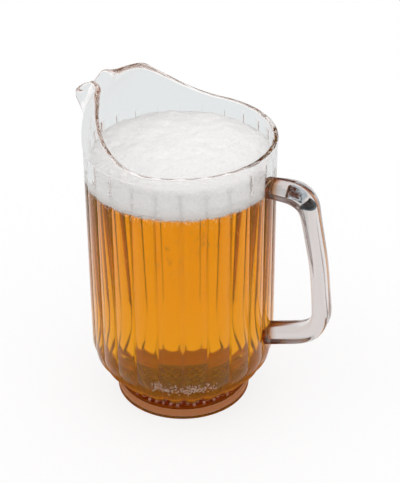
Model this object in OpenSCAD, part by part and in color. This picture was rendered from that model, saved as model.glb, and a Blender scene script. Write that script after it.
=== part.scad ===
// Fluted beer pitcher: a clear moulded body with a raised, pinched spout, a bonded handle,
// and its contents, beer under a head of foam.
// Origin at the middle of the foot, on the surface. Handle towards +X, spout towards -X.

/* [Body] */
// Outer radius of the smooth collar under the rim
body_r = 61.5; // [56:0.5:66]
// Wall thickness at the crown of a flute
wall = 3.1; // [2.6:0.1:4]
// Height of the level part of the rim
rim_z = 190; // [175:1:215]
// Depth of the smooth collar below the level rim
collar_h = 5; // [4:0.5:10]

/* [Flutes] */
// Number of flutes round the body
flute_count = 24; // [20:2:28]
// Radius of a flute's rounded tip where it lands on the foot
flute_tip_r = 3; // [1.5:0.25:4]
// How far the flute crowns lie inside the collar
flute_setback = 0.3; // [0.2:0.1:0.8]
// Height over which the flutes run out into the collar
runout_h = 2; // [1:0.25:3]

/* [Bowl and foot] */
// Radius of the curve from the wall into the bowl
bowl_r = 30; // [26:1:34]
// Wall thickness where the bowl slopes in to the foot
bowl_wall = 3.65; // [2.8:0.05:4.6]
// Radius of the foot on the surface
foot_r = 45; // [43:0.5:47]
// Height at which the flute crowns land on the foot
foot_h = 12.5; // [10:0.5:14]
// Inset of the foot's side over its height
foot_inset = 1; // [0.5:0.25:2]
// Chamfer on the foot's lower edge
foot_edge = 0.8; // [0.6:0.2:2]
// Width of the ring that the foot stands on
foot_ring_w = 5; // [4:0.5:8]
// Depth of the recess under the foot
recess_h = 5; // [3:0.5:6]
// Thickness of the floor
floor_t = 4.5; // [3.5:0.5:6]

/* [Rim and spout] */
// Height of the spout's crest above the level rim
crest_h = 31.4; // [30:0.2:34]
// Height of the wing corners above the level rim
wing_h = 28; // [26:0.5:29]
// How far the wing corners lie inside the collar's radius, towards the spout
wing_set = 21; // [19:0.5:23]
// Slope that the rim's upward sweep reaches at the wings
ramp_angle = 60; // [54:1:64]
// Radius of the curve over which the raised collar leans in
lean_r = 49; // [46:1:60]
// Distance of the nose's centre from the axis beyond the collar
nose_reach = 1; // [0:0.25:3]
// Height of the nose's centre above the level rim
nose_h = 17; // [15:0.5:19]
// Outer radius of the nose
nose_r = 8; // [7:0.1:8.6]
// Wall thickness of the spout
spout_wall = 2.8; // [2.2:0.1:3.4]
// Angle of the spout's floor from the vertical
spout_lean = 37; // [32:1:42]
// Length of the spout's floor from the throat to the nose
spout_run = 30; // [27:0.5:33]
// Outer half width of the spout at its throat
throat_r = 13.5; // [12:0.25:15]

/* [Handle] */
// Drop of the upper arm's centre line below the level rim
arm_drop = 26.5; // [22:0.5:36]
// Distance of the grip's upper corner from the collar
grip_top_gap = 23; // [20:0.2:28]
// Distance of the grip's lower corner from the collar
grip_low_gap = 36.8; // [32:0.2:42]
// Height of the grip's lower corner above the surface
grip_low_z = 64.5; // [58:0.5:72]
// Outward bow of the grip's middle from the straight line
grip_bow = 2.6; // [1:0.1:4]
// Slope of the lower arm, rising away from the body
low_arm_angle = 15; // [8:1:18]
// Thickness of the upper arm
handle_top_t = 9.8; // [8.6:0.2:11.6]
// Thickness of the upper elbow
top_elbow_t = 13; // [9.6:0.2:14]
// Thickness of the grip
grip_t = 9.6; // [8.6:0.2:11.6]
// Thickness of the lower arm
handle_low_t = 11.8; // [9.6:0.2:14]
// Width of the handle across the hand
handle_w = 16; // [14:0.5:20]
// Radius on the handle's long edges
handle_edge_r = 3.8; // [2.6:0.2:4.2]
// Centre-line radius of the upper elbow
top_elbow_r = 13.5; // [12:0.5:16]
// Centre-line radius of the lower elbow
low_elbow_r = 19; // [14:0.5:20]

/* [Contents] */
// Drop of the beer's surface below the level rim
beer_drop = 30; // [25:1:60]
// Thickness of the head of foam at the wall
foam_t = 16.5; // [6:0.5:19]
// Rise of the foam towards its middle
foam_crown = 1.5; // [0.5:0.25:3]
// Gap between the contents and the wall
contents_gap = 0.2; // [0.1:0.05:0.4]

/* [Hidden] */
$fn = 96;
overlap = 1;
reach = 2 * body_r;

crown_r = body_r - flute_setback;
inner_r = crown_r - wall;
collar_z = rim_z - collar_h;
floor_z = recess_h + floor_t;
beer_z = rim_z - beer_drop;

// The bowl's outer side ends in a slope that lands on the foot
bowl_turn = 45;
foot_top_r = foot_r - foot_inset;
slope_r = crown_r - bowl_r * (1 - cos(bowl_turn));
slope_z = foot_h + (slope_r - foot_top_r) * tan(bowl_turn);
bowl_z = slope_z + bowl_r * sin(bowl_turn);
core_r = foot_r - foot_inset * (slope_z - foot_edge) / (foot_h - foot_edge);

// The curve inside the bowl touches the wall and the floor and keeps its distance from the slope
slope_reach = (inner_r - foot_top_r) * sin(bowl_turn) + (foot_h - floor_z) * cos(bowl_turn);
inner_bowl_r = (bowl_wall + slope_reach) / (sin(bowl_turn) + cos(bowl_turn) - 1);
inner_bowl_z = floor_z + inner_bowl_r;

// Each flute is round about an upright axis of its own, just inside the foot
flute_axis_r = foot_top_r - flute_tip_r;
flute_half = 180 / flute_count;
cusp_r = lobe_r(flute_half, crown_r);
flute_columns = 6;
slope_rows = 5;
bowl_rows = 5;

// The rim is cut out of a taller collar
rim_spare = 10;
top_z = rim_z + crest_h + rim_spare;
wing_u = body_r - wing_set;
wing_corner_r = 6;
crest_corner_r = 4;
notch_r = 3;
lip_r = 5;
crest_in = 1.5;
notch_rise = 5;
lip_rise = 4.4;
lip_end_rise = 2;
lip_past = 2;
nose_u = body_r + nose_reach;
nose_z = rim_z + nose_h;
throat_u = nose_u - spout_run * sin(spout_lean);
throat_z = nose_z - spout_run * cos(spout_lean);
trough_fn = 32;
dome_fn = 72;

// The handle's path in the plane of X and Z, from inside one root to inside the other
arm_z = rim_z - arm_drop;
root_x = crown_r - wall;
grip_top = [body_r + grip_top_gap, arm_z];
grip_low = [body_r + grip_low_gap, grip_low_z];
grip_side = unit(grip_low - grip_top);
grip_middle = (grip_top + grip_low) / 2 + grip_bow * [-grip_side[1], grip_side[0]];
grip_bow_r = 200;
low_root = [root_x, grip_low_z - (grip_low[0] - root_x) * tan(low_arm_angle)];
handle_path = rounded_path(
    [[root_x, arm_z], grip_top, grip_middle, grip_low, low_root],
    [top_elbow_r, grip_bow_r, low_elbow_r]
);
corner_steps = 4;

// The bar's thickness by its share of the path's points: root, elbow, grip and root
handle_thickness = [[0, handle_top_t], [0.2, top_elbow_t], [0.45, grip_t], [1, handle_low_t]];

function unit(v) = v / norm(v);

// The points of an arc of radius r in the corner q between p and s
function arc_points(p, q, s, r) =
    let (a = unit(p - q), b = unit(s - q))
    let (half = acos(a * b) / 2, side = sign(a[0] * b[1] - a[1] * b[0]))
    let (centre = q + unit(a + b) * r / sin(half), start = q + a * r / tan(half) - centre)
    let (turn = -side * (180 - 2 * half), steps = max(2, ceil(abs(turn) / 9)))
    [for (i = [0:steps]) let (t = turn * i / steps)
        centre + [start[0] * cos(t) - start[1] * sin(t), start[0] * sin(t) + start[1] * cos(t)]];

// The points of a path with each inner corner rounded to its own radius
function rounded_path(corners, radii) = [
    corners[0],
    for (i = [1:len(corners) - 2]) each arc_points(corners[i - 1], corners[i], corners[i + 1], radii[i - 1]),
    corners[len(corners) - 1]
];

// The body's radius at an angle from a flute's crown, where the crown has radius c
function lobe_r(angle, c) =
    let (lobe = max(0, c - flute_axis_r), across = flute_axis_r * sin(angle))
    flute_axis_r * cos(angle) + sqrt(max(0, lobe * lobe - across * across));

// The crown's outline up the flute as [radius, height]: the slope, the bowl's curve and the wall
function crown_outline() = [
    for (i = [0:slope_rows - 1]) let (r = foot_top_r - overlap + (slope_r - foot_top_r + overlap) * i / slope_rows)
        [r, foot_h + (r - foot_top_r) * tan(bowl_turn)],
    for (i = [0:bowl_rows]) let (t = bowl_turn * (1 - i / bowl_rows))
        [crown_r - bowl_r * (1 - cos(t)), bowl_z - bowl_r * sin(t)],
    [crown_r, collar_z + overlap]
];

// The faces of a loft through closed rings of equally many points, with flat ends
function loft_faces(rings, points) = [
    [for (j = [0:points - 1]) j],
    for (i = [0:rings - 2], j = [0:points - 1])
        let (a = i * points + j, b = i * points + (j + 1) % points)
        each [[a, a + points, b], [b, a + points, b + points]],
    [for (j = [0:points - 1]) rings * points - 1 - j]
];

// A rectangle with round corners, as the points of one ring about the origin
function round_rectangle(width, height, r) = [
    for (corner = [0:3], step = [0:corner_steps])
        let (t = 90 * (corner + step / corner_steps))
        [sign(cos(90 * corner + 45)) * (width / 2 - r) + r * cos(t),
            sign(sin(90 * corner + 45)) * (height / 2 - r) + r * sin(t)]
];

// The flutes of the bowl and the wall as one loft, solid inside
module flutes() {
    outline = crown_outline();
    columns = flute_count * flute_columns;
    points = [
        for (row = outline, j = [0:columns - 1])
            let (a = 2 * flute_half * j / flute_columns)
            let (r = lobe_r(2 * flute_half * (j % flute_columns) / flute_columns - flute_half, row[0]))
            [r * cos(a - flute_half), r * sin(a - flute_half), row[1]]
    ];
    polyhedron(points, loft_faces(len(outline), columns));
}

// The foot and the core of the bowl that the flutes run onto
module foot() {
    rotate_extrude() polygon([
        [0, 0],
        [foot_r - foot_edge, 0],
        [foot_r, foot_edge],
        [core_r, slope_z],
        [0, slope_z]
    ]);
}

// The collar above the level rim, which leans in as it rises, set in by the given thickness
module dome(thickness) {
    lean_u = body_r - lean_r;
    rotate_extrude() translate([0, rim_z]) {
        square([lean_u, top_z - rim_z]);
        intersection() {
            translate([lean_u, 0]) circle(lean_r - thickness, $fn = dome_fn);
            square([body_r, top_z - rim_z]);
        }
    }
}

// The trough of the spout: a round nose that leans out from the throat
module trough(thickness) {
    hull() {
        trough_end(nose_u, nose_z, nose_r - thickness);
        trough_end(throat_u, throat_z, throat_r - thickness);
    }
}

// A round-bottomed post at one end of the trough
module trough_end(u, z, r) {
    translate([u, 0, z]) {
        sphere(r, $fn = trough_fn);
        cylinder(h = top_z - z, r = r, $fn = trough_fn);
    }
}

// The collar and the spout, solid inside
module collar() {
    translate([0, 0, collar_z]) cylinder(h = collar_h, r = body_r);
    translate([0, 0, collar_z - runout_h]) cylinder(h = runout_h, r1 = cusp_r - flute_setback, r2 = body_r);
    dome(0);
    rotate(180) trough(0);
}

// The space inside the bowl and the wall, set in by the given gap, up to the given height
module bore(gap, height) {
    corner_r = inner_r - inner_bowl_r;
    rotate_extrude() {
        translate([0, floor_z]) square([corner_r, inner_bowl_r]);
        intersection() {
            translate([corner_r, inner_bowl_z]) circle(inner_bowl_r - gap);
            translate([corner_r, floor_z]) square(inner_bowl_r);
        }
        translate([0, inner_bowl_z]) square([inner_r - gap, height - inner_bowl_z]);
    }
}

// The hollow of the vessel up through the collar and the spout
module hollow() {
    bore(0, rim_z);
    dome(body_r - inner_r);
    rotate(180) trough(spout_wall);
}

// What lies above the rim in side view, cut through the collar from side to side
module rim_cut() {
    wing = [wing_u, rim_z + wing_h];
    crest = [nose_u - nose_r + crest_in, rim_z + crest_h];
    crest_slope = atan2(crest[1] - wing[1], crest[0] - wing[0]);
    wing_tangent = wing_corner_r * tan((ramp_angle - crest_slope) / 2);
    ramp_r = (wing_h / sin(ramp_angle) - wing_tangent) / tan(ramp_angle / 2);
    end_u = nose_u + nose_r + lip_past;
    end_z = top_z + 2 * overlap;
    path = rounded_path([
        [-reach, rim_z],
        [wing_u - wing_h / tan(ramp_angle), rim_z],
        wing,
        crest,
        [nose_u, nose_z + notch_rise],
        [nose_u + lip_r, nose_z + lip_rise],
        [end_u, nose_z + lip_end_rise]
    ], [ramp_r, wing_corner_r, crest_corner_r, notch_r, lip_r]);
    rotate(180) rotate([90, 0, 0]) linear_extrude(2 * reach, center = true)
        polygon(concat(path, [[end_u, end_z], [-reach, end_z]]));
}

module pitcher_body() {
    color("lightgray", 0.6) difference() {
        union() {
            flutes();
            foot();
            collar();
        }
        hollow();
        rim_cut();
        translate([0, 0, -overlap]) cylinder(h = recess_h + overlap, r = foot_r - foot_edge - foot_ring_w);
    }
}

// A bar swept along the handle's path, thicker towards its lower root and seated on the flutes
module handle() {
    last = len(handle_path) - 1;
    points = [
        for (i = [0:last])
            let (along = unit(handle_path[min(i + 1, last)] - handle_path[max(i - 1, 0)]))
            let (thickness = lookup(i / last, handle_thickness))
            for (p = round_rectangle(thickness, handle_w, handle_edge_r))
                [handle_path[i][0] - along[1] * p[0], -p[1], handle_path[i][1] + along[0] * p[0]]
    ];
    color("rosybrown") difference() {
        polyhedron(points, loft_faces(last + 1, 4 * (corner_steps + 1)));
        flutes();
    }
}

// The beer fills the bowl and stands on its floor
module beer() {
    color("orange") bore(contents_gap, beer_z);
}

// The head of foam lies on the beer and is a little higher in the middle
module foam_head() {
    r = inner_r - contents_gap;
    dome_r = (r * r + foam_crown * foam_crown) / (2 * foam_crown);
    top = beer_z + foam_t + foam_crown;
    color("white") rotate_extrude() intersection() {
        translate([0, beer_z]) square([r, top - beer_z]);
        translate([0, top - dome_r]) circle(dome_r, $fn = 24 * $fn);
    }
}

pitcher_body();
handle();
beer();
foam_head();
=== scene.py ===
"""Fluted beer pitcher: clear body, bar handle, beer and foam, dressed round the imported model."""
import math

import bpy
import numpy as np
from bpy.props import FloatProperty, FloatVectorProperty, IntProperty, PointerProperty
from mathutils import Matrix, Vector, noise


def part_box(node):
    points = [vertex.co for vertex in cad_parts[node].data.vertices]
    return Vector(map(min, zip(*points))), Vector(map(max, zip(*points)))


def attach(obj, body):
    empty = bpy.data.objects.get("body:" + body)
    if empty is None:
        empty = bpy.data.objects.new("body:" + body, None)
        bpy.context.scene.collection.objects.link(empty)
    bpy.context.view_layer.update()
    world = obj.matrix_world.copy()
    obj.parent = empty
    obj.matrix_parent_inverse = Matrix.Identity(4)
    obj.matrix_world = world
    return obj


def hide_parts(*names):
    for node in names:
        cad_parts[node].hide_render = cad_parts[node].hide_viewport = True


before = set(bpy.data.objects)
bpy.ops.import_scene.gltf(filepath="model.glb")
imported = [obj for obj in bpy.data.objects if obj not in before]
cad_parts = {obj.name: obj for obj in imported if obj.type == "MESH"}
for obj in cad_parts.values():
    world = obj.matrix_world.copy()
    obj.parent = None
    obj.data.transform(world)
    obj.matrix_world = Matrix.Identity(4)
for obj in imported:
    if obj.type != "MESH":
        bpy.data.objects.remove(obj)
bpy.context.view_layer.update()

bl_info = {
    "name": "Fluted beer pitcher",
    "version": (1, 0, 0),
    "blender": (4, 5, 0),
    "location": "View3D > Sidebar > Pitcher",
    "description": "Builds a clear fluted beer pitcher with its beer, foam and a plain stage",
    "category": "Object",
}

BODY_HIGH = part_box("pitcher_body")[1]
BEER_LOW, BEER_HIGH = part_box("beer")
FOAM_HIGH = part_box("foam_head")[1]
HANDLE_LOW, HANDLE_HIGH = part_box("handle")
BEER_CLEARANCE = 0.0002  # between the beer's solid and the wall
BEER_RISE = 0.0025       # from the top of the beer's solid to the middle of its soft line
IMAGE_SIZE = (400, 483)
TURN = 2 * math.pi
WHITE = (1, 1, 1, 1)


def hex_linear(code):
    """The linear colour of an sRGB hex value."""
    parts = [int(code[i:i + 2], 16) / 255 for i in (1, 3, 5)]
    return [p / 12.92 if p <= 0.04045 else ((p + 0.055) / 1.055) ** 2.4 for p in parts]


def length(label, words, value):
    """A length property in metres."""
    return FloatProperty(name=label, description=words, default=value, unit="LENGTH", precision=5)


def angle(label, words, degrees):
    """An angle property."""
    return FloatProperty(name=label, description=words, default=math.radians(degrees), subtype="ANGLE")


def colour(label, words, code):
    """A colour property from an sRGB hex value."""
    return FloatVectorProperty(name=label, description=words, default=hex_linear(code), subtype="COLOR",
                               min=0, max=1)


class PitcherSizes(bpy.types.PropertyGroup):
    """The sizes of the pitcher's pieces"""

    body_r: length("Body radius", "Outer radius of the smooth collar", BODY_HIGH.y)
    inner_r: length("Inner radius", "Inner radius of the straight wall", BEER_HIGH.y + BEER_CLEARANCE)
    wall: length("Wall", "Wall thickness at a flute's crown", 0.0031)
    rim_z: length("Rim height", "Height of the level part of the rim", 0.190)
    collar_h: length("Collar depth", "Depth of the smooth collar under the rim", 0.005)
    flute_count: IntProperty(name="Flutes", description="Number of flutes round the body", default=24)
    flute_tip_r: length("Flute tip", "Radius of a flute's tip on the foot", 0.003)
    groove_d: length("Groove depth", "Depth of the fine groove between two flutes", 0.0003)
    groove_w: length("Groove width", "Half width of the fine groove between two flutes", 0.00045)
    flute_setback: length("Flute setback", "How far the crowns lie inside the collar", 0.0003)
    runout_h: length("Runout", "Height over which the flutes run out", 0.002)
    bowl_r: length("Bowl radius", "Radius of the curve from the wall into the bowl", 0.030)
    inner_bowl_r: length("Inner bowl radius", "Radius of the curve inside the bowl", 0.038)
    foot_r: length("Foot radius", "Radius of the foot on the surface", 0.045)
    foot_h: length("Foot height", "Height where the flute crowns land on the foot", 0.0125)
    foot_inset: length("Foot inset", "Inset of the foot's side over its height", 0.001)
    foot_edge: length("Foot edge", "Rounding of the foot's lower edge", 0.0008)
    foot_ring_w: length("Foot ring", "Width of the ring that the foot stands on", 0.005)
    recess_h: length("Recess", "Depth of the recess under the foot", 0.005)
    floor_z: length("Floor height", "Height of the inside of the floor", BEER_LOW.z)
    crest_h: length("Crest", "Height of the spout's crest above the level rim", 0.0314)
    wing_h: length("Wing height", "Height of the wing corners above the level rim", 0.028)
    wing_u: length("Wing place", "Distance of the wing corners from the axis", 0.0405)
    ramp_angle: angle("Ramp", "Slope that the rim reaches at the wings", 60)
    lean_r: length("Lean", "Radius of the curve over which the raised collar leans in", 0.049)
    nose_u: length("Nose place", "Distance of the nose's centre from the axis", 0.0625)
    nose_h: length("Nose height", "Height of the nose's centre above the rim", 0.017)
    nose_r: length("Nose radius", "Outer radius of the nose", 0.008)
    spout_wall: length("Spout wall", "Wall thickness of the spout", 0.0028)
    spout_lean: angle("Spout lean", "Angle of the spout's floor from the vertical", 37)
    spout_run: length("Spout run", "Length of the spout's floor", 0.030)
    throat_r: length("Throat", "Outer half width of the spout at its throat", 0.0135)
    blend_r: length("Blend", "Softness of the blend between the spout and the wall", 0.006)
    rim_edge: length("Rim edge", "Rounding of the rim's two edges", 0.0011)
    arm_z: length("Upper arm", "Height of the upper arm's centre line", 0.1635)
    grip_top_x: length("Grip top", "Distance of the grip's upper corner from the axis", 0.0845)
    grip_low_x: length("Grip foot", "Distance of the grip's lower corner from the axis", 0.0983)
    grip_low_z: length("Grip foot height", "Height of the grip's lower corner", 0.0645)
    grip_bow: length("Grip bow", "Outward bow of the grip's middle", 0.0026)
    grip_bow_r: length("Grip bow radius", "Radius of the grip's bow", 0.2)
    low_arm_angle: angle("Lower arm", "Slope of the lower arm", 15)
    handle_top_t: length("Upper arm thickness", "Thickness of the upper arm", 0.0098)
    top_elbow_t: length("Elbow thickness", "Thickness of the upper elbow", 0.013)
    grip_t: length("Grip thickness", "Thickness of the grip", 0.0096)
    handle_low_t: length("Lower arm thickness", "Thickness of the lower arm", 0.0118)
    handle_w: length("Handle width", "Width of the handle across the hand", HANDLE_HIGH.y - HANDLE_LOW.y)
    handle_edge_r: length("Handle edge", "Radius on the handle's long edges", 0.0038)
    top_elbow_r: length("Upper elbow", "Centre-line radius of the upper elbow", 0.0135)
    low_elbow_r: length("Lower elbow", "Centre-line radius of the lower elbow", 0.019)
    beer_z: length("Beer level", "Height of the beer under the foam", BEER_HIGH.z + BEER_RISE)
    foam_top_z: length("Foam top", "Height of the foam's middle", FOAM_HIGH.z)
    wetting: length("Wetting", "How far the contents reach into the wall, so that no air shows", 0.0003)


class PitcherColours(bpy.types.PropertyGroup):
    """The colours of the pitcher's finishes"""

    plastic: colour("Plastic", "What the clear plastic lets through", "#FBEDE6")
    handle: colour("Handle", "What the handle's plastic lets through", "#E4DEDC")
    # Painted shade: the brown of the shaded surface under the base, painted onto the frosted underside
    underside: colour("Underside", "Colour of the frosted underside between its dots", "#B43812")
    # Painted highlight: the dots' pale warm colour stands for the light on them
    dot: colour("Dots", "Colour of the raised dots under the base", "#EC8E58")
    pocket: colour("Pocket", "What the upper pocket of trapped air turns back", "#DCECF6")
    # Painted shade: the lower pocket's mirror colour is much darker than the upper one's
    shaded_pocket_low: colour("Lower pocket", "What the lower pocket of trapped air turns back", "#62808F")
    # Painted light: the beer's amber glow, painted into the handle's bonded roots
    root: colour("Root", "What the bonded roots of the handle let through", "#C07A38")
    beer: colour("Beer", "What the beer lets through", "#FEF052")
    beer_haze: colour("Beer haze", "Colour of the beer's faint haze", "#F9CE3F")
    foam: colour("Foam", "Colour of the foam", "#FBFAF9")
    foam_low: colour("Low foam", "Colour of the wet foam at the beer line", "#CE9A70")
    bubble: colour("Bubbles", "Colour of the bubbles that cling to the wall", "#FFCC78")
    clump: colour("Clumps", "Colour of the bubbles that cling together in the bowl", "#BE7C3A")
    floor: colour("Floor", "Colour of the paper sweep", "#FCFCFC")
    # Painted shadow: the brown shade right under the foot, seen only through the clear plastic
    painted_shadow_under_foot: colour("Table", "Colour of the surface right under the foot, seen through the base", "#9C6440")
    far_floor: colour("Far floor", "Colour of the sweep far behind, seen through the headspace", "#E4E8E9")
    room: colour("Room", "Colour of the room above, seen in the edges of the plastic", "#6A3A28")


# Shape functions

def smooth_max(a, b, k):
    """The larger of two values, blended over k."""
    h = np.clip(0.5 + 0.5 * (a - b) / k, 0, 1)
    return b + (a - b) * h + k * h * (1 - h)


def smooth_min(a, b, k):
    """The smaller of two values, blended over k."""
    return -smooth_max(-a, -b, k)


def unit(v):
    """The vector at length 1."""
    return v / np.linalg.norm(v)


def halve(within, low, high, rounds):
    """The highest values that are still within, between low and high."""
    for _ in range(rounds):
        middle = (low + high) / 2
        good = within(middle)
        low, high = np.where(good, middle, low), np.where(good, high, middle)
    return low


def ring(r, phi, z):
    """Points round the axis at the angles phi."""
    return np.stack(np.broadcast_arrays(r * np.cos(phi), r * np.sin(phi), z), axis=1)


def full_turn(count):
    """Even angles all the way round."""
    return np.linspace(0, TURN, count, endpoint=False)


def rounded_path(corners, radii, step=math.radians(4)):
    """The points of a path with each inner corner rounded to its own radius."""
    corners = [np.array(c, float) for c in corners]
    points = [corners[0]]
    for p, q, s, r in zip(corners, corners[1:], corners[2:], radii):
        a, b = unit(p - q), unit(s - q)
        half = math.acos(np.clip(a @ b, -1, 1)) / 2
        centre = q + unit(a + b) * r / math.sin(half)
        start = q + a * r / math.tan(half) - centre
        turn = -np.sign(a[0] * b[1] - a[1] * b[0]) * (math.pi - 2 * half)
        steps = max(2, math.ceil(abs(turn) / step))
        for t in np.linspace(0, turn, steps + 1):
            c, n = math.cos(t), math.sin(t)
            points.append(centre + np.array([start[0] * c - start[1] * n, start[0] * n + start[1] * c]))
    points.append(corners[-1])
    return np.array(points)


class PitcherShape:
    """The surfaces of the body as radii about the axis, worked out from the sizes."""

    def __init__(self, s):
        self.s = s
        self.crown_r = s.body_r - s.flute_setback
        self.collar_z = s.rim_z - s.collar_h
        self.foot_top_r = s.foot_r - s.foot_inset
        bowl_turn = math.radians(45)
        slope_r = self.crown_r - s.bowl_r * (1 - math.cos(bowl_turn))
        self.slope_z = s.foot_h + slope_r - self.foot_top_r
        self.bowl_z = self.slope_z + s.bowl_r * math.sin(bowl_turn)
        self.axis_r = self.foot_top_r - s.flute_tip_r
        self.half = math.pi / s.flute_count
        self.cusp_r = float(self.lobe(np.array(self.half), self.crown_r))
        self.nose_z = s.rim_z + s.nose_h
        self.throat_u = s.nose_u - s.spout_run * math.sin(s.spout_lean)
        self.throat_z = self.nose_z - s.spout_run * math.cos(s.spout_lean)
        self.rim = self.rim_path()

    def rim_path(self):
        """The rim in side view, as distance towards the spout and height."""
        s = self.s
        crest_back, wing_corner_r, crest_corner_r = 0.0015, 0.006, 0.004
        # Past the crest the rim drops and runs out over the nose, measured from the nose's centre
        lip_outs = 0, 0.005, s.nose_r + 0.002
        lip_heights, lip_radii = (0.005, 0.0044, 0.002), (0.003, 0.005)
        lip = [[s.nose_u + out, self.nose_z + h] for out, h in zip(lip_outs, lip_heights)]
        wing = np.array([s.wing_u, s.rim_z + s.wing_h])
        crest = np.array([s.nose_u - s.nose_r + crest_back, s.rim_z + s.crest_h])
        slope = math.atan2(crest[1] - wing[1], crest[0] - wing[0])
        tangent = wing_corner_r * math.tan((s.ramp_angle - slope) / 2)
        ramp_r = (s.wing_h / math.sin(s.ramp_angle) - tangent) / math.tan(s.ramp_angle / 2)
        ramp_foot = [s.wing_u - s.wing_h / math.tan(s.ramp_angle), s.rim_z]
        return rounded_path([[-2 * s.body_r, s.rim_z], ramp_foot, wing, crest, *lip],
                            [ramp_r, wing_corner_r, crest_corner_r, *lip_radii])

    def rim_height(self, u):
        """The rim's height at a distance towards the spout."""
        return np.interp(u, self.rim[:, 0], self.rim[:, 1])

    def crown(self, z):
        """The radius of the flute crowns at a height."""
        s = self.s
        depth = np.clip(self.bowl_z - z, 0, s.bowl_r)
        curve = self.crown_r - s.bowl_r + np.sqrt(s.bowl_r ** 2 - depth ** 2)
        return np.where(z < self.slope_z, self.foot_top_r + z - s.foot_h, curve)

    def lobe(self, a, crown):
        """The radius of a flute at an angle from its crown."""
        reach = np.maximum(0, crown - self.axis_r)
        across = self.axis_r * np.sin(a)
        return self.axis_r * np.cos(a) + np.sqrt(np.maximum(0, reach ** 2 - across ** 2))

    def fluted(self, phi, z):
        """The outer radius below the collar."""
        s = self.s
        groove_top_z, groove_fade, foot_blend, collar_blend = 0.184, 0.02, 0.0005, 0.0006
        a = (phi + self.half) % (2 * self.half) - self.half
        share = np.clip((z - self.slope_z) / (self.bowl_z - self.slope_z), 0, 1)
        share = share * share * (3 - 2 * share)
        share = share * np.clip((groove_top_z - z) / groove_fade, 0, 1)
        crown = self.crown(z)
        groove = np.exp(-(crown * (self.half - np.abs(a)) / s.groove_w) ** 2)
        flute = self.lobe(a, crown) - s.groove_d * share * groove
        foot = s.foot_r - s.foot_inset * (z - s.foot_edge) / (s.foot_h - s.foot_edge)
        foot = np.where(z > self.bowl_z, 0, foot)
        low = self.cusp_r - s.flute_setback
        runout = low + (s.body_r - low) * np.minimum((z - self.collar_z) / s.runout_h + 1, 1)
        runout = np.where(z < self.bowl_z, 0, runout)
        return smooth_max(smooth_max(flute, foot, foot_blend), runout, collar_blend)

    def collar_distance(self, u, v, z, thickness):
        """How far a point lies outside the collar, which leans in above the level rim."""
        s = self.s
        out = np.hypot(u, v) - (s.body_r - s.lean_r)
        rise = np.maximum(0, z - s.rim_z)
        return np.where(out > 0, np.hypot(out, rise), rise) - (s.lean_r - thickness)

    def trough_distance(self, u, v, z, thickness):
        """How far a point lies outside the spout's trough, a round cone carried straight up."""
        s = self.s
        low, high = np.array([self.throat_u, self.throat_z]), np.array([s.nose_u, self.nose_z])
        r1, r2 = s.throat_r - thickness, s.nose_r - thickness
        share = np.clip((u - low[0]) / (high[0] - low[0]), 0, 1)
        z = np.minimum(z, low[1] + share * (high[1] - low[1]))
        ba = high - low
        l2 = ba @ ba
        rr = r1 - r2
        a2 = l2 - rr * rr
        pu, pz = u - low[0], z - low[1]
        y = pu * ba[0] + pz * ba[1]
        w = y - l2
        x2 = (pu * l2 - ba[0] * y) ** 2 + (v * l2) ** 2 + (pz * l2 - ba[1] * y) ** 2
        y2, w2 = y * y * l2, w * w * l2
        k = np.sign(rr) * rr * rr * x2
        side = (np.sqrt(x2 * a2 / l2) + y * rr) / l2 - r1
        near = np.sqrt(x2 + y2) / l2 - r1
        far = np.sqrt(x2 + w2) / l2 - r2
        return np.where(np.sign(w) * a2 * w2 > k, far, np.where(np.sign(y) * a2 * y2 < k, near, side))

    def spout_radius(self, phi, z, inside):
        """The radius of the collar with its spout, on the outside or the inside of the wall."""
        s = self.s
        wall_t = s.body_r - s.inner_r if inside else 0
        trough_t = s.spout_wall if inside else 0
        c, n = -np.cos(phi), np.sin(phi)

        def within(r):
            u, v = r * c, r * n
            wall = self.collar_distance(u, v, z, wall_t)
            return smooth_min(wall, self.trough_distance(u, v, z, trough_t), s.blend_r) <= 0

        # The first step inwards that lies in the form, and then the surface just outside it
        widest, narrowest, count = 1.25, 0.55, 57
        steps = np.linspace(widest, narrowest, count) * s.body_r
        best = np.full(np.broadcast(phi, z).shape, steps[-1])
        found = np.zeros(best.shape, bool)
        for r in steps:
            first = within(np.full(best.shape, r)) & ~found
            best = np.where(first, r, best)
            found |= first
        return halve(within, best, best + (steps[0] - steps[1]), rounds=16)

    def rim_top(self, phi, inside):
        """The height at which the wall at each angle meets the rim's cut."""
        s = self.s
        below, above, count = 0.004, 0.002, 60
        levels = np.linspace(s.rim_z - below, s.rim_z + s.crest_h + above, count)

        def under_rim(z):
            return self.rim_height(-self.spout_radius(phi, z, inside) * np.cos(phi)) >= z

        low = np.full(phi.shape, levels[0])
        rising = np.ones(phi.shape, bool)
        for z in levels:
            rising &= under_rim(np.full(phi.shape, z))
            low = np.where(rising, z, low)
        return halve(under_rim, low, low + levels[1] - levels[0], rounds=10)


# Mesh helpers

def deselect_all():
    """Leaves no object selected or active."""
    for ob in bpy.context.selected_objects:
        ob.select_set(False)
    bpy.context.view_layer.objects.active = None


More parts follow.
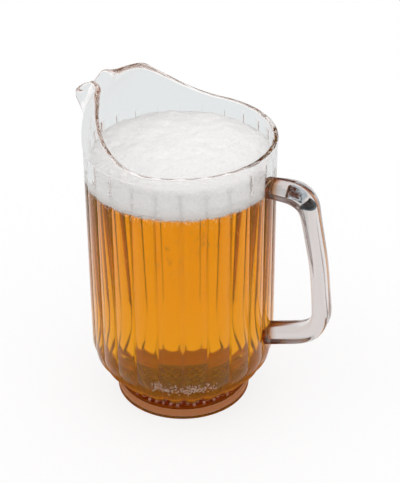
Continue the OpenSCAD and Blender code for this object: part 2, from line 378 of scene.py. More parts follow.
def wrap_grid(name, rings):
    """Wraps a grid round the rings of a closed surface and closes its seam and its poles."""
    rings = np.asarray(rings, float)
    rows, columns = rings.shape[:2]
    closed = np.concatenate([rings, rings[:, :1]], axis=1)
    deselect_all()
    bpy.ops.mesh.primitive_grid_add(x_subdivisions=columns, y_subdivisions=rows - 1, size=1)
    ob = bpy.context.object
    ob.name = name
    ob.data.name = name
    grid = np.empty(len(ob.data.vertices) * 3)
    ob.data.vertices.foreach_get("co", grid)
    grid = grid.reshape(-1, 3)
    column = np.rint((grid[:, 0] + 0.5) * columns).astype(int)
    row = np.rint((grid[:, 1] + 0.5) * (rows - 1)).astype(int)
    ob.data.vertices.foreach_set("co", closed[row, column].ravel())
    ob.data.update()
    ob.location = (0, 0, 0)
    bpy.ops.object.mode_set(mode="EDIT")
    bpy.ops.mesh.select_all(action="SELECT")
    bpy.ops.mesh.remove_doubles(threshold=2e-6)
    bpy.ops.mesh.normals_make_consistent(inside=False)
    bpy.ops.object.mode_set(mode="OBJECT")
    bpy.ops.object.shade_smooth()
    return ob


def strew(name, places, radii, material, node):
    """Copies one small ball to every place as a single piece."""
    deselect_all()
    bpy.ops.mesh.primitive_ico_sphere_add(subdivisions=1, radius=1)
    ball = bpy.context.object.data
    points = np.array([v.co for v in ball.vertices])
    faces = np.array([f.vertices for f in ball.polygons])
    bpy.ops.object.delete()
    copies = places[:, None] + radii[:, None, None] * points
    numbers = faces + len(points) * np.arange(len(places))[:, None, None]
    mesh = bpy.data.meshes.new(name)
    mesh.from_pydata(copies.reshape(-1, 3).tolist(), [], numbers.reshape(-1, 3).tolist())
    ob = bpy.data.objects.new(name, mesh)
    bpy.context.scene.collection.objects.link(ob)
    ob.select_set(True)
    bpy.context.view_layer.objects.active = ob
    bpy.ops.object.shade_smooth()
    settle(ob, material, node)


def settle(ob, material, node):
    """Gives a piece its material and its place in the frame."""
    ob.data.materials.clear()
    ob.data.materials.append(material)
    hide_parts(node)
    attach(ob, "root")


# Materials

def add_node(tree, kind, inputs=None, out=0, **settings):
    """Adds a node, sets it, links or sets its inputs, and gives one of its outputs."""
    node = tree.nodes.new(kind)
    for key, value in settings.items():
        setattr(node, key, value)
    for key, value in (inputs or {}).items():
        socket = node.inputs[key]
        if isinstance(value, bpy.types.NodeSocket):
            tree.links.new(value, socket)
        else:
            socket.default_value = value
    return node.outputs[out] if node.outputs else None


def finish_colour(key):
    """One of the finishes' colours, opaque."""
    return (*getattr(bpy.context.scene.pitcher_colours, key), 1)


def new_material(name):
    """An empty node material and its tree."""
    material = bpy.data.materials.new(name)
    material.use_nodes = True
    material.node_tree.nodes.clear()
    return material, material.node_tree


def clear_plastic(name, key, density, root_r=None):
    """Styrene copolymer, injection moulded: clear and glossy, faintly tinted along a wall.

    The body has a frosted underside painted brown for the shade under the base. A piece that is bonded on at
    root_r has the beer's amber light painted into its roots instead.
    """
    ripple_l, scuff_l, root_l, frost = 0.018, 0.004, 0.006, 0.65
    material, tree = new_material(name)
    place = add_node(tree, "ShaderNodeTexCoord", out="Object")
    ripple = add_node(tree, "ShaderNodeTexNoise", {"Vector": place, "Scale": 1 / ripple_l, "Detail": 1.0})
    bump = add_node(tree, "ShaderNodeBump", {"Height": ripple, "Strength": 0.12, "Distance": 0.0006})
    scuff = add_node(tree, "ShaderNodeTexNoise", {"Vector": place, "Scale": 1 / scuff_l, "Detail": 3.0})
    haze = add_node(tree, "ShaderNodeMapRange", {
        "Value": scuff, "From Min": 0.45, "From Max": 0.8, "To Min": 0.0, "To Max": 0.05})
    # The real plastic bends light by 1.57; a little less keeps fewer rays trapped in the wall
    finish = {"Roughness": haze, "IOR": 1.49, "Transmission Weight": 1.0, "Normal": bump}
    if root_r is None:
        # The frosted underside scatters the dim light under the base; its brown colour is painted shade from
        # under the base
        painted_tint = finish_colour("underside")
        share = add_node(tree, "ShaderNodeAttribute", out="Fac", attribute_name="frosted")
        finish["Transmission Weight"] = add_node(tree, "ShaderNodeMath", {0: share, 1: -frost, 2: 1.0},
                                                 operation="MULTIPLY_ADD")
        # Beer against the wall takes most of the shine off its inside
        finish["Specular Tint"] = add_node(tree, "ShaderNodeAttribute", attribute_name="shine")
    else:
        # Painted light: the beer's amber light is painted into the bonded roots, fading a few millimetres up
        # the arms
        painted_tint = finish_colour("root")
        away = add_node(tree, "ShaderNodeSeparateXYZ", {"Vector": place}, out="X")
        share = add_node(tree, "ShaderNodeMapRange", {
            "Value": away, "From Min": root_r + root_l, "From Max": root_r}, interpolation_type="SMOOTHSTEP")
    shade = add_node(tree, "ShaderNodeMix", {"Factor": share, 6: WHITE, 7: painted_tint}, out=2, data_type="RGBA")
    bsdf = add_node(tree, "ShaderNodeBsdfPrincipled", {"Base Color": shade, **finish})
    volume = add_node(tree, "ShaderNodeVolumeAbsorption", {"Color": finish_colour(key), "Density": density})
    add_node(tree, "ShaderNodeOutputMaterial", {"Surface": bsdf, "Volume": volume})
    return material


def trapped_air(name, key):
    """A pocket of air moulded into thick plastic: its wall turns light back, clouded in places."""
    cloud_l = 0.003
    material, tree = new_material("trapped_air_" + name)
    place = add_node(tree, "ShaderNodeTexCoord", out="Object")
    cloud = add_node(tree, "ShaderNodeTexNoise", {"Vector": place, "Scale": 1 / cloud_l, "Detail": 2.0})
    rough = add_node(tree, "ShaderNodeMapRange", {
        "Value": cloud, "From Min": 0.4, "From Max": 0.7, "To Max": 0.05})
    bump = add_node(tree, "ShaderNodeBump", {"Height": cloud, "Strength": 0.4, "Distance": 0.001})
    # Drawn as a mirror, because the pocket turns back nearly all the light that meets it
    bsdf = add_node(tree, "ShaderNodeBsdfPrincipled", {
        "Base Color": finish_colour(key), "Metallic": 1.0, "Roughness": rough, "Normal": bump})
    add_node(tree, "ShaderNodeOutputMaterial", {"Surface": bsdf})
    return material


def clear_beer():
    """Filtered lager: a clear amber liquid that deepens with the length of the light's way through it."""
    material, tree = new_material("clear_amber_beer")
    # A trace of haze keeps some of the light near the wall
    bsdf = add_node(tree, "ShaderNodeBsdfPrincipled", {
        "Base Color": finish_colour("beer_haze"), "Roughness": 0.0, "IOR": 1.34,
        "Transmission Weight": 0.85, "Specular Tint": (0.05, 0.05, 0.05, 1)})
    volume = add_node(tree, "ShaderNodeVolumeAbsorption", {"Color": finish_colour("beer"), "Density": 43.0})
    add_node(tree, "ShaderNodeOutputMaterial", {"Surface": bsdf, "Volume": volume})
    return material


def bead_skin(name, key, clearness):
    """The skin of a tiny bead: a bright lens where it is clear, a mottled dot where it is clouded."""
    mottle_l, paleness = 0.002, 0.4
    material, tree = new_material(name)
    place = add_node(tree, "ShaderNodeTexCoord", out="Object")
    mottle = add_node(tree, "ShaderNodeTexNoise", {"Vector": place, "Scale": 1 / mottle_l, "Detail": 2.0})
    tint = finish_colour(key)
    pale = [1 - paleness * (1 - c) for c in tint]
    shade = add_node(tree, "ShaderNodeMix", {"Factor": mottle, 6: tint, 7: pale}, out=2, data_type="RGBA")
    bsdf = add_node(tree, "ShaderNodeBsdfPrincipled", {
        "Base Color": shade, "Roughness": 0.05, "IOR": 1.2, "Transmission Weight": clearness,
        "Specular Tint": (0.2, 0.2, 0.2, 1)})
    add_node(tree, "ShaderNodeOutputMaterial", {"Surface": bsdf})
    return material


def beer_foam(name, wet_z, thins=False):
    """Beer foam: a matt white mass of bubbles, most under half a millimetre, drawn coarser to show.

    Below wet_z it takes the beer's colour, and where it thins it leaves gaps there.
    """
    bubble_l, lump_l, speck_l, clump_l, wet_h = 0.0016, 0.012, 0.0012, 0.0011, 0.004
    material, tree = new_material(name)
    place = add_node(tree, "ShaderNodeTexCoord", out="Object")
    bubbles = add_node(tree, "ShaderNodeTexVoronoi", {"Vector": place, "Scale": 1 / bubble_l})
    lumps = add_node(tree, "ShaderNodeTexNoise", {"Vector": place, "Scale": 1 / lump_l, "Detail": 5.0})
    fine = add_node(tree, "ShaderNodeBump", {"Height": bubbles, "Strength": 0.5, "Distance": 0.0006})
    soft = add_node(tree, "ShaderNodeBump", {
        "Height": lumps, "Strength": 0.7, "Distance": 0.004, "Normal": fine})
    white = finish_colour("foam")
    grey = (*[c * 0.95 for c in white[:3]], 1)
    shade = add_node(tree, "ShaderNodeMix", {"Factor": bubbles, 6: white, 7: grey}, out=2, data_type="RGBA")
    # Low down, beer between the bubbles shows as fine tan specks
    level = add_node(tree, "ShaderNodeSeparateXYZ", {"Vector": place}, out="Z")
    specks = add_node(tree, "ShaderNodeTexNoise", {"Vector": place, "Scale": 1 / speck_l, "Detail": 2.0})
    low = add_node(tree, "ShaderNodeMapRange", {
        "Value": level, "From Min": wet_z + wet_h, "From Max": wet_z - wet_h,
        "To Max": 0.6 if thins else 0.25})
    wet = add_node(tree, "ShaderNodeMath", {0: specks, 1: low}, operation="MULTIPLY")
    shade = add_node(tree, "ShaderNodeMix", {
        "Factor": wet, 6: shade, 7: finish_colour("foam_low")}, out=2, data_type="RGBA")
    finish = {"Base Color": shade, "Roughness": 0.6, "IOR": 1.33, "Normal": soft}
    if thins:
        # Fewer bubbles hang together the lower they are, and single ones are drawn about a millimetre wide
        share = add_node(tree, "ShaderNodeMapRange", {
            "Value": level, "From Min": wet_z - wet_h, "From Max": wet_z + 0.001, "To Min": -0.1})
        clumps = add_node(tree, "ShaderNodeTexNoise", {"Vector": place, "Scale": 1 / clump_l, "Detail": 3.0})
        left = add_node(tree, "ShaderNodeMath", {0: share, 1: clumps}, operation="SUBTRACT")
        finish["Alpha"] = add_node(tree, "ShaderNodeMapRange", {
            "Value": left, "From Min": -0.12, "From Max": 0.2})
    bsdf = add_node(tree, "ShaderNodeBsdfPrincipled", finish)
    add_node(tree, "ShaderNodeOutputMaterial", {"Surface": bsdf})
    return material


# Pieces

class PITCHER_OT_body(bpy.types.Operator):
    """Models the clear fluted body with its foot, collar and spout"""

    bl_idname = "pitcher.body"
    bl_label = "Body"

    frosted_share = 0.85  # of the recess's radius

    def execute(self, context):
        s = context.scene.pitcher_sizes
        shape = PitcherShape(s)
        phi = self.columns(s, shape)
        recess_r = s.foot_r - s.foot_edge - s.foot_ring_w
        rows = self.foot_rows(s, recess_r) + self.wall_rows(s, shape, phi)
        ob = wrap_grid("fluted_body", [ring(r, phi, z) for r, z in rows])
        plastic = clear_plastic("clear_moulded_body", "plastic", density=20.0)
        settle(ob, plastic, "pitcher_body")
        self.mark(s, ob, recess_r)
        return {"FINISHED"}

    def columns(self, s, shape):
        """The angles of the mesh's columns, closest at the grooves and beside the spout."""
        plain, fine, fine_reach, crowding = 20, 44, 1.2, 2.4
        step = 2 * shape.half
        phi = []
        for i in range(s.flute_count):
            near_spout = abs((i * step) % TURN - math.pi) < fine_reach * step
            count = fine if near_spout else plain
            share = np.arange(count) / count * 2 - 1
            crowded = np.sign(share) * (1 - (1 - np.abs(share)) ** crowding)
            phi.extend(i * step + shape.half * (0.5 * (share + crowded) if near_spout else crowded))
        return np.array(phi)

    def foot_rows(self, s, recess_r):
        """Radius and height of the rows under the foot: its recess, standing ring and lower edge."""
        recess_edge, ring_edge = 0.0008, 0.0006
        rows = [(share * recess_r, s.recess_h) for share in (0, 0.5, self.frosted_share)]
        for t in np.linspace(0, 1, 6) * math.pi / 2:
            rows.append((recess_r - recess_edge * (1 - math.sin(t)),
                         s.recess_h - recess_edge * (1 - math.cos(t))))
        rows += [(recess_r, ring_edge), (recess_r + ring_edge, 0)]
        for t in np.linspace(0, math.pi / 2, 5):
            rows.append((s.foot_r - s.foot_edge * (1 - math.sin(t)), s.foot_edge * (1 - math.cos(t))))
        return rows

    def wall_rows(self, s, shape, phi):
        """Radius and height of the rows up the outside, over the rim and down the inside."""
        rim_power, floor_share = 2.3, 0.2
        low = shape.collar_z + 0.0008
        # Up the flutes, with more rows where they land on the foot and where they run out
        marks = [s.foot_edge, s.foot_h - 0.0015, s.foot_h + 0.0075, shape.bowl_z,
                 shape.collar_z - 2 * s.runout_h, low]
        rows = []
        for start, end, count in zip(marks, marks[1:], (6, 22, 22, 8, 12)):
            rows += [(shape.fluted(phi, z), z) for z in np.linspace(start, end, count)[1:]]
        outer_top = shape.rim_top(phi, False) - s.rim_edge
        inner_top = shape.rim_top(phi, True) - s.rim_edge
        for share in np.linspace(0, 1, 21)[1:]:
            z = low + (outer_top - low) * share
            rows.append((shape.spout_radius(phi, z, False), z))
        # Over the rim, rounded at both edges
        r_out = shape.spout_radius(phi, outer_top, False)
        r_in = shape.spout_radius(phi, inner_top, True)
        for share in (1 - np.cos(np.linspace(0, math.pi, 29)[1:-1])) / 2:
            r = r_out + (r_in - r_out) * share
            drop = np.abs(2 * share - 1) ** rim_power
            z = shape.rim_height(-r * np.cos(phi)) - s.rim_edge * (1 - (1 - drop) ** (1 / rim_power))
            rows.append((r, z))
        for share in np.linspace(1, 0, 18):
            z = low + (inner_top - low) * share
            rows.append((shape.spout_radius(phi, z, True), z))
        # Down the smooth inside to the floor
        rows += [(s.inner_r, z) for z in np.linspace(low, s.floor_z + s.inner_bowl_r, 8)[1:]]
        for t in np.linspace(0, math.pi / 2, 22)[1:]:
            rows.append((s.inner_r - s.inner_bowl_r * (1 - math.cos(t)),
                         s.floor_z + s.inner_bowl_r * (1 - math.sin(t))))
        return rows + [(s.inner_bowl_r * floor_share, s.floor_z), (0, s.floor_z)]

    def mark(self, s, ob, recess_r):
        """Marks how much each face shines, less where beer wets it, and the frosted underside, which gets
        painted brown shade.
        """
        dull, bright, near = 0.05, 0.16, 0.0006
        under_z = s.floor_z - 0.0002
        shine, frosted = [], []
        for face in ob.data.polygons:
            r, z = math.hypot(*face.center.xy), face.center.z
            depth = min(max(s.floor_z + s.inner_bowl_r - z, 0), s.inner_bowl_r)
            bore_r = s.inner_r - s.inner_bowl_r + math.sqrt(s.inner_bowl_r ** 2 - depth ** 2)
            wetted = r < bore_r + near and under_z < z < s.beer_z
            shine.append(dull if wetted else bright)
            frosted.append(float(r < self.frosted_share * recess_r and z < under_z))
        for name, values in (("shine", shine), ("frosted", frosted)):
            kept = ob.data.attributes.new(name, "FLOAT", "FACE")
            kept.data.foreach_set("value", np.array(values, np.float32))


class PITCHER_OT_handle(bpy.types.Operator):
    """Models the bar handle along its path, with the pockets of air in its elbow"""

    bl_idname = "pitcher.handle"
    bl_label = "Handle"

    def execute(self, context):
        s = context.scene.pitcher_sizes
        path, thick = self.path(s)
        tangent = np.gradient(path, axis=0)
        tangent /= np.linalg.norm(tangent, axis=1)[:, None]
        corner = np.linspace(0, math.pi / 2, 9)
        rings = []
        for p, d, t in zip(path, tangent, thick):
            section = []
            for quarter in range(4):
                mid = quarter * math.pi / 2 + math.pi / 4
                cx = np.sign(math.cos(mid)) * (t / 2 - s.handle_edge_r)
                cy = np.sign(math.sin(mid)) * (s.handle_w / 2 - s.handle_edge_r)
                for a in corner + quarter * math.pi / 2:
                    x, y = cx + s.handle_edge_r * math.cos(a), cy + s.handle_edge_r * math.sin(a)
                    section.append([p[0] - d[1] * x, y, p[1] + d[0] * x])
            rings.append(section)
        rings = np.array(rings)
        ends = [np.repeat(r.mean(axis=0, keepdims=True), len(r), axis=0) for r in (rings[0], rings[-1])]
        ob = wrap_grid("bar_handle", [ends[0], *rings, ends[1]])
        plastic = clear_plastic("clear_moulded_handle", "handle", density=100.0, root_r=s.body_r)
        settle(ob, plastic, "handle")
        self.pockets(s)
        return {"FINISHED"}

    def path(self, s):
        """The points of the centre line from root to root, and the bar's thickness at each."""
        stations, ease_points, ease_rounds = 300, 23, 2
        root_x = s.body_r - s.flute_setback - 0.5 * s.wall
        top = np.array([s.grip_top_x, s.arm_z])
        low = np.array([s.grip_low_x, s.grip_low_z])
        along = unit(low - top)
        middle = (top + low) / 2 + s.grip_bow * np.array([-along[1], along[0]])
        low_root = [root_x, s.grip_low_z - (s.grip_low_x - root_x) * math.tan(s.low_arm_angle)]
        radii = [s.top_elbow_r, s.grip_bow_r, s.low_elbow_r]
        path = rounded_path([[root_x, s.arm_z], top, middle, low, low_root], radii, math.radians(0.5))
        run = np.concatenate([[0], np.cumsum(np.linalg.norm(np.diff(path, axis=0), axis=1))])
        places = np.linspace(0, run[-1], stations)
        path = np.stack([np.interp(places, run, path[:, i]) for i in (0, 1)], axis=1)
        thick = np.interp(places / run[-1], [0, 0.13, 0.24, 0.42, 0.6, 0.8, 1],
                          [s.handle_top_t, s.top_elbow_t, s.grip_t * 1.04, s.grip_t, s.grip_t * 1.03,
                           s.handle_low_t, s.handle_low_t])
        # Both are evened out, so that no bend and no swelling starts sharply
        ease = np.hanning(ease_points) / np.hanning(ease_points).sum()
        side = ease_points // 2
        for _ in range(ease_rounds):
            thick = np.convolve(np.pad(thick, side, mode="edge"), ease, mode="valid")
            inner = [np.convolve(path[:, i], ease, mode="valid") for i in (0, 1)]
            path[side:-side] = np.stack(inner, axis=1)
        return path, thick

    def pockets(self, s):
        """The two pockets of trapped air that show in the thick upper elbow."""
        turns = full_turn(32)
        waist, bend_out, twist, aside = 0.25, 0.002, 90, -0.0015
        # Place along the arm and above it, half length, half width, half height and bend
        pockets = [("elbow_void", "pocket", -0.0075, -0.0005, 0.0055, 0.0052, 0.0028, 55),
                   # The lower pocket's darker mirror colour is painted shade
                   ("elbow_void_low", "shaded_pocket_low", 0.0008, -0.0068, 0.0040, 0.0055, 0.0018, 30)]
        for name, key, out, lift, half_l, half_w, half_h, bend in pockets:
            rings = []
            for t in np.linspace(0, math.pi, 25):
                along = -half_l * math.cos(t)
                fat = math.sin(t) * (1 + waist * math.cos(2 * t))
                centre_z = s.arm_z + lift - bend * (along + bend_out) ** 2
                rings.append(np.stack([np.full(len(turns), s.grip_top_x + out + along),
                                       aside + half_w * fat * np.cos(turns + twist * along),
                                       centre_z + half_h * fat * np.sin(turns)], axis=1))
            settle(wrap_grid(name, rings), trapped_air(name, key), "handle")


class PITCHER_OT_beer(bpy.types.Operator):
    """Models the beer that fills the bowl"""

    bl_idname = "pitcher.beer"
    bl_label = "Beer"

    def execute(self, context):
        s = context.scene.pitcher_sizes
        edge = 0.001
        centre_z = s.floor_z + s.inner_bowl_r
        r = s.inner_bowl_r + s.wetting
        corner = s.inner_r - s.inner_bowl_r
        profile = [(0, s.floor_z - s.wetting)]
        for t in np.linspace(math.pi / 2, 0, 40):
            profile.append((corner + r * math.cos(t), centre_z - r * math.sin(t)))
        profile += [(corner + r, s.beer_z - edge), (corner + r - edge, s.beer_z), (0, s.beer_z)]
        phi = full_turn(256)
        ob = wrap_grid("beer_fill", [ring(r, phi, z) for r, z in profile])
        settle(ob, clear_beer(), "beer")
        return {"FINISHED"}


class PITCHER_OT_foam(bpy.types.Operator):
    """Models the head of foam with its lumpy top and ragged lower edge"""

    bl_idname = "pitcher.foam"
    bl_label = "Foam"

    def execute(self, context):
        s = context.scene.pitcher_sizes
        film, rise, edge_h, edge_drop, edge_power, peak = 0.0001, 0.001, 0.002, 0.0018, 40, 0.003
        cling_z, cling_depth = [0.003, 0.006], s.wetting + 0.0002
        # Height, width and seed of each layer of lumps on the top, and of waves along the lower edge
        lumps = [(0.0012, 0.022, 1.0), (0.0006, 0.006, 5.0)]
        waves, wave_drop = [(0.0012, 0.12, 3.0), (0.0007, 0.025, 7.0)], 0.0004
        phi = full_turn(384)
        side_r = s.inner_r - film
        edge_z = s.foam_top_z + rise

        def swell(x, y, layers):
            return sum(h * noise.fractal(Vector((x / width, y / width, seed)), 0.9, 2.1, 4)
                       for h, width, seed in layers)

        skirt = np.array([swell(math.cos(a), math.sin(a), waves) - wave_drop for a in phi])
        rings = [ring(side_r * share, phi, s.beer_z) for share in (0.0, 0.3, 0.6, 0.9)]
        for share in np.linspace(0, 1, 16):
            z = s.beer_z + skirt + (edge_z - edge_h - s.beer_z - skirt) * share
            # Wet foam clings to the wall low down; higher up it has drawn back from it by a film of air
            r = np.interp(z - s.beer_z, cling_z, [s.inner_r + cling_depth, side_r])
            rings.append(ring(r, phi, z))
        for share in np.concatenate([[0.998, 0.993, 0.985, 0.973], np.linspace(0.955, 0, 58)]):
            r = side_r * share
            lift = np.array([swell(r * math.cos(a), r * math.sin(a), lumps) for a in phi])
            z = np.minimum(edge_z + lift - edge_drop * share ** edge_power, s.foam_top_z + peak)
            rings.append(ring(r, phi, z))
        ob = wrap_grid("foam_cap", rings)
        settle(ob, beer_foam("fine_beer_foam", s.beer_z), "foam_head")
        return {"FINISHED"}


class PITCHER_OT_bubbles(bpy.types.Operator):
    """Strews the bubbles of the foam and the beer and the dots under the base, and hangs the foam's veil"""

    bl_idname = "pitcher.bubbles"
    bl_label = "Bubbles and dots"

    bubble_r = 0.0003, 0.0009  # the least and the most

    def execute(self, context):
        s = context.scene.pitcher_sizes
        rng = np.random.default_rng(7)
        self.fringe(s, rng)
        self.dots(s)
        self.veil(s)
        self.clusters(s, rng)
        self.clumps(s, rng)
        return {"FINISHED"}

    def fringe(self, s, rng):
        """Bubbles along the lower edge of the foam, fewer and smaller downwards."""
        count, rise, mean_drop, shrink_h, least_r, most_r = 3200, 0.0006, 0.002, 0.012, 0.00012, 0.00034
        phi = rng.uniform(0, TURN, count)
        drop = rng.exponential(mean_drop, count)
        r = rng.uniform(least_r, most_r, count) * np.exp(-drop / shrink_h)
        places = ring(s.inner_r + s.wetting + r, phi, s.beer_z + rise - drop)
        # The height at which foam looks wet is set well below the fringe, so that it stays white
        foam = beer_foam("fine_foam_fringe", s.beer_z - 0.02)
        strew("foam_fringe", places, r, foam, "foam_head")

    def dots(self, s):
        """The dots that are moulded under the base, in rows, with their highlights painted into a pale warm
        colour.
        """
        pitch, reach, dot_r, sunk = 0.0044, 0.0335, 0.0012, 0.0006
        lines = np.arange(-8, 9) * pitch
        places = np.array([(x, y, s.recess_h + sunk) for x in lines for y in lines
                           if math.hypot(x, y) < reach])
        plastic = bead_skin("frosted_dots_with_painted_highlights", "dot", clearness=0.2)
        strew("base_dots", places, np.full(len(places), dot_r), plastic, "pitcher_body")

    def veil(self, s):
        """A veil of foam that thins out down the wall, just outside the beer."""
        inside, outside, rise, hang = 0.0001, 0.0003, 0.001, -0.006
        phi = full_turn(192)
        section = [(inside, rise), (inside, hang), (outside, hang), (outside, rise), (inside, rise)]
        rings = [ring(s.inner_r + s.wetting + out, phi, s.beer_z + z) for out, z in section]
        foam = beer_foam("thinning_foam_veil", s.beer_z, thins=True)
        settle(wrap_grid("foam_veil", rings), foam, "foam_head")

    def clusters(self, s, rng):
        """Small clusters of bubbles that cling to the wall."""
        gap = 0.0001
        # Angle, height, spread and count
        clusters = [(-57, 0.147, 0.004, 18), (-52, 0.143, 0.003, 10), (-76, 0.136, 0.004, 14),
                    (-70, 0.126, 0.003, 10), (-37, 0.147, 0.003, 7), (-105, 0.125, 0.003, 5),
                    (-63, 0.139, 0.004, 8)]
        places, radii = [], []
        for turn, z, spread, number in clusters:
            r = rng.uniform(*self.bubble_r, number)
            a = math.radians(turn) + rng.normal(0, spread, number) / s.inner_r
            places.append(ring(s.inner_r - r - gap, a, z + rng.normal(0, spread, number)))
            radii.append(r)
        strew("wall_bubbles", np.concatenate(places), np.concatenate(radii),
              bead_skin("clear_bubble_skin", "bubble", clearness=0.78), "beer")

    def clumps(self, s, rng):
        """Clumps of clouded bubbles low in the bowl."""
        spread_round, spread_up = 0.04, 0.05
        # Angle, slope and count
        clumps = [(-85, 17, 34), (-80, 21, 30), (-73, 15, 14), (-67, 22, 40), (-61, 19, 34),
                  (-56, 20, 26), (-49, 21, 14)]
        places, radii = [], []
        for turn, slope, number in clumps:
            r = rng.uniform(*self.bubble_r, number)
            a = math.radians(turn) + rng.normal(0, spread_round, number)
            t = math.radians(slope) + rng.normal(0, spread_up, number)
            bow = s.inner_bowl_r + s.wetting + r
            places.append(ring(s.inner_r - s.inner_bowl_r + bow * np.cos(t), a,
                               s.floor_z + s.inner_bowl_r - bow * np.sin(t)))
            radii.append(r)
        strew("bowl_bubbles", np.concatenate(places), np.concatenate(radii),
              bead_skin("clouded_bubble_skin", "clump", clearness=0.0), "beer")


# Stage

class PITCHER_OT_stage(bpy.types.Operator):
    """Sets the paper floor, the soft lights, the pale surround and the camera"""

    bl_idname = "pitcher.stage"
    bl_label = "Stage"

    def execute(self, context):
        self.floor(context)
        self.lights(context)
        self.surround(context)
        self.camera(context)
        context.scene.view_settings.view_transform = "Standard"
        # Light runs a long way inside clear walls before it leaves them
        cycles = context.scene.cycles
        cycles.max_bounces = cycles.transmission_bounces = cycles.glossy_bounces = 40
        cycles.diffuse_bounces = 6
        return {"FINISHED"}

    def clear_rays(self, tree):
        """The outputs of the light's path, and 1 for a ray that comes through or off a clear surface."""
        path = add_node(tree, "ShaderNodeLightPath").node.outputs
        return path, add_node(tree, "ShaderNodeMath", {
            0: path["Is Transmission Ray"], 1: path["Is Glossy Ray"]}, operation="MAXIMUM")

    def floor(self, context):
        """A white paper sweep that keeps the pitcher's soft shadow."""
        lift_share, sunk = 0.75, 0.0002
        deselect_all()
        bpy.ops.mesh.primitive_circle_add(vertices=96, radius=4.0, fill_type="NGON")
        ob = context.object
        ob.name = "paper_floor"
        ob.location.z = -sunk
        material, tree = new_material("white_paper_sweep")
        path, clear = self.clear_rays(tree)
        diffuse = add_node(tree, "ShaderNodeBsdfDiffuse", {"Color": finish_colour("floor")})
        lift = add_node(tree, "ShaderNodeEmission", {"Color": WHITE, "Strength": 1.0})
        soft = add_node(tree, "ShaderNodeMixShader", {0: lift_share, 1: diffuse, 2: lift})
        seen = add_node(tree, "ShaderNodeMixShader", {0: path["Is Camera Ray"], 1: diffuse, 2: soft})
        # What shows through the clear plastic: a brown painted shadow right under the foot, the white sweep
        # round it, and the far sweep
        place = add_node(tree, "ShaderNodeTexCoord", out="Object")
        away = add_node(tree, "ShaderNodeVectorMath", {0: place}, out="Value", operation="LENGTH")
        under = add_node(tree, "ShaderNodeMapRange", {"Value": away, "From Min": 0.066, "From Max": 0.078},
                         interpolation_type="SMOOTHSTEP")
        far = add_node(tree, "ShaderNodeMapRange", {"Value": away, "From Min": 0.29, "From Max": 0.34},
                       interpolation_type="SMOOTHSTEP")
        painted_shadow_tone = add_node(tree, "ShaderNodeMix", {
            "Factor": under, 6: finish_colour("painted_shadow_under_foot"), 7: WHITE}, out=2, data_type="RGBA")
        tone = add_node(tree, "ShaderNodeMix", {
            "Factor": far, 6: painted_shadow_tone, 7: finish_colour("far_floor")}, out=2, data_type="RGBA")
        through = add_node(tree, "ShaderNodeEmission", {"Color": tone, "Strength": 1.0})
        both = add_node(tree, "ShaderNodeMixShader", {0: clear, 1: seen, 2: through})
        add_node(tree, "ShaderNodeOutputMaterial", {"Surface": both})
        ob.data.materials.append(material)

    def lights(self, context):
        """Two large soft boxes, high on the left and low on the right."""
        target = Vector((0, 0, 0.1))
        # Name, place, width and power
        boxes = [("key_softbox", (-0.9, -0.7, 1.5), 1.2, 2.5), ("fill_softbox", (1.3, -0.6, 0.9), 0.9, 1.5)]
        for name, place, size, power in boxes:
            lamp = bpy.data.lights.new(name, "AREA")
            lamp.size = size
            lamp.energy = power
            ob = bpy.data.objects.new(name, lamp)
            ob.location = place
            ob.rotation_euler = (Vector(place) - target).to_track_quat("Z", "Y").to_euler()
            context.scene.collection.objects.link(ob)

    def surround(self, context):
        """A pale room: soft light for matt surfaces, and a dim brown ceiling in clear ones."""
        world = bpy.data.worlds.new("pale_room")
        context.scene.world = world
        world.use_nodes = True
        tree = world.node_tree
        tree.nodes.clear()
        path, clear = self.clear_rays(tree)
        ray = add_node(tree, "ShaderNodeTexCoord", out="Generated")
        rise = add_node(tree, "ShaderNodeSeparateXYZ", {"Vector": ray}, out="Z")
        # The room above the pale horizon is dim and brown, which draws the edges of clear walls
        above = add_node(tree, "ShaderNodeMapRange", {"Value": rise, "From Min": 0.15, "From Max": 0.4},
                         interpolation_type="SMOOTHSTEP")
        tone = add_node(tree, "ShaderNodeMix", {
            "Factor": above, 6: (0.95, 0.95, 0.95, 1), 7: finish_colour("room")}, out=2, data_type="RGBA")
        clear = add_node(tree, "ShaderNodeMath", {0: clear, 1: path["Diffuse Depth"]},
                         operation="SUBTRACT", use_clamp=True)
        # Soft light for matt surfaces, brighter near the horizon
        level = add_node(tree, "ShaderNodeMapRange", {"Value": rise, "To Min": 1.95, "To Max": 0.5})
        shade = add_node(tree, "ShaderNodeMix", {"Factor": clear, 6: level, 7: tone}, out=2, data_type="RGBA")
        sky = add_node(tree, "ShaderNodeBackground", {"Color": shade, "Strength": 1.0})
        add_node(tree, "ShaderNodeOutputWorld", {"Surface": sky})

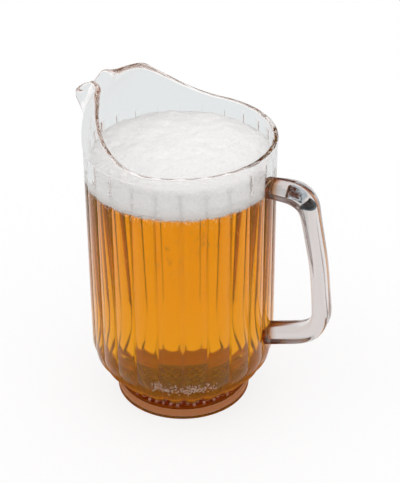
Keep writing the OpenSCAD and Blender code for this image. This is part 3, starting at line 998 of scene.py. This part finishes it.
    def camera(self, context):
        """The photograph's view: a long lens, from above and a little to the handle's side."""
        azimuth, elevation, roll = (math.radians(a) for a in (21.9, 31.14, -0.41))
        aim = Vector((0.0111, 0.0045, 0.1112))
        distance = 0.9385
        focal_px = 1436.9
        back = Vector((math.sin(azimuth) * math.cos(elevation), -math.cos(azimuth) * math.cos(elevation),
                       math.sin(elevation)))
        right = Vector((math.cos(azimuth), math.sin(azimuth), 0))
        right = right * math.cos(roll) + back.cross(right) * math.sin(roll)
        data = bpy.data.cameras.new("view")
        data.sensor_width = 36
        data.lens = focal_px * data.sensor_width / max(IMAGE_SIZE)
        ob = bpy.data.objects.new("view", data)
        basis = Matrix((right, back.cross(right), back)).transposed().to_4x4()
        ob.matrix_world = Matrix.Translation(aim + back * distance) @ basis
        context.scene.collection.objects.link(ob)
        context.scene.camera = ob


class PITCHER_PT_panel(bpy.types.Panel):
    """Lists the pitcher's pieces, sizes and colours"""

    bl_label = "Pitcher"
    bl_idname = "PITCHER_PT_panel"
    bl_space_type = "VIEW_3D"
    bl_region_type = "UI"
    bl_category = "Pitcher"

    def draw(self, context):
        for operator in OPERATORS:
            self.layout.operator(operator.bl_idname)
        for group in (context.scene.pitcher_sizes, context.scene.pitcher_colours):
            for key in group.__annotations__:
                self.layout.prop(group, key)


OPERATORS = (PITCHER_OT_body, PITCHER_OT_handle, PITCHER_OT_beer, PITCHER_OT_foam, PITCHER_OT_bubbles,
             PITCHER_OT_stage)
CLASSES = (PitcherSizes, PitcherColours, *OPERATORS, PITCHER_PT_panel)


def register():
    """Adds the classes and the properties."""
    for cls in CLASSES:
        bpy.utils.register_class(cls)
    bpy.types.Scene.pitcher_sizes = PointerProperty(type=PitcherSizes)
    bpy.types.Scene.pitcher_colours = PointerProperty(type=PitcherColours)


def unregister():
    """Takes the classes and the properties away."""
    del bpy.types.Scene.pitcher_colours
    del bpy.types.Scene.pitcher_sizes
    for cls in reversed(CLASSES):
        bpy.utils.unregister_class(cls)


def main():
    """Registers the panel and its sizes, then builds every piece and the stage."""
    register()
    bpy.ops.pitcher.body()
    bpy.ops.pitcher.handle()
    bpy.ops.pitcher.beer()
    bpy.ops.pitcher.foam()
    bpy.ops.pitcher.bubbles()
    bpy.ops.pitcher.stage()


if __name__ == "__main__":
    main()
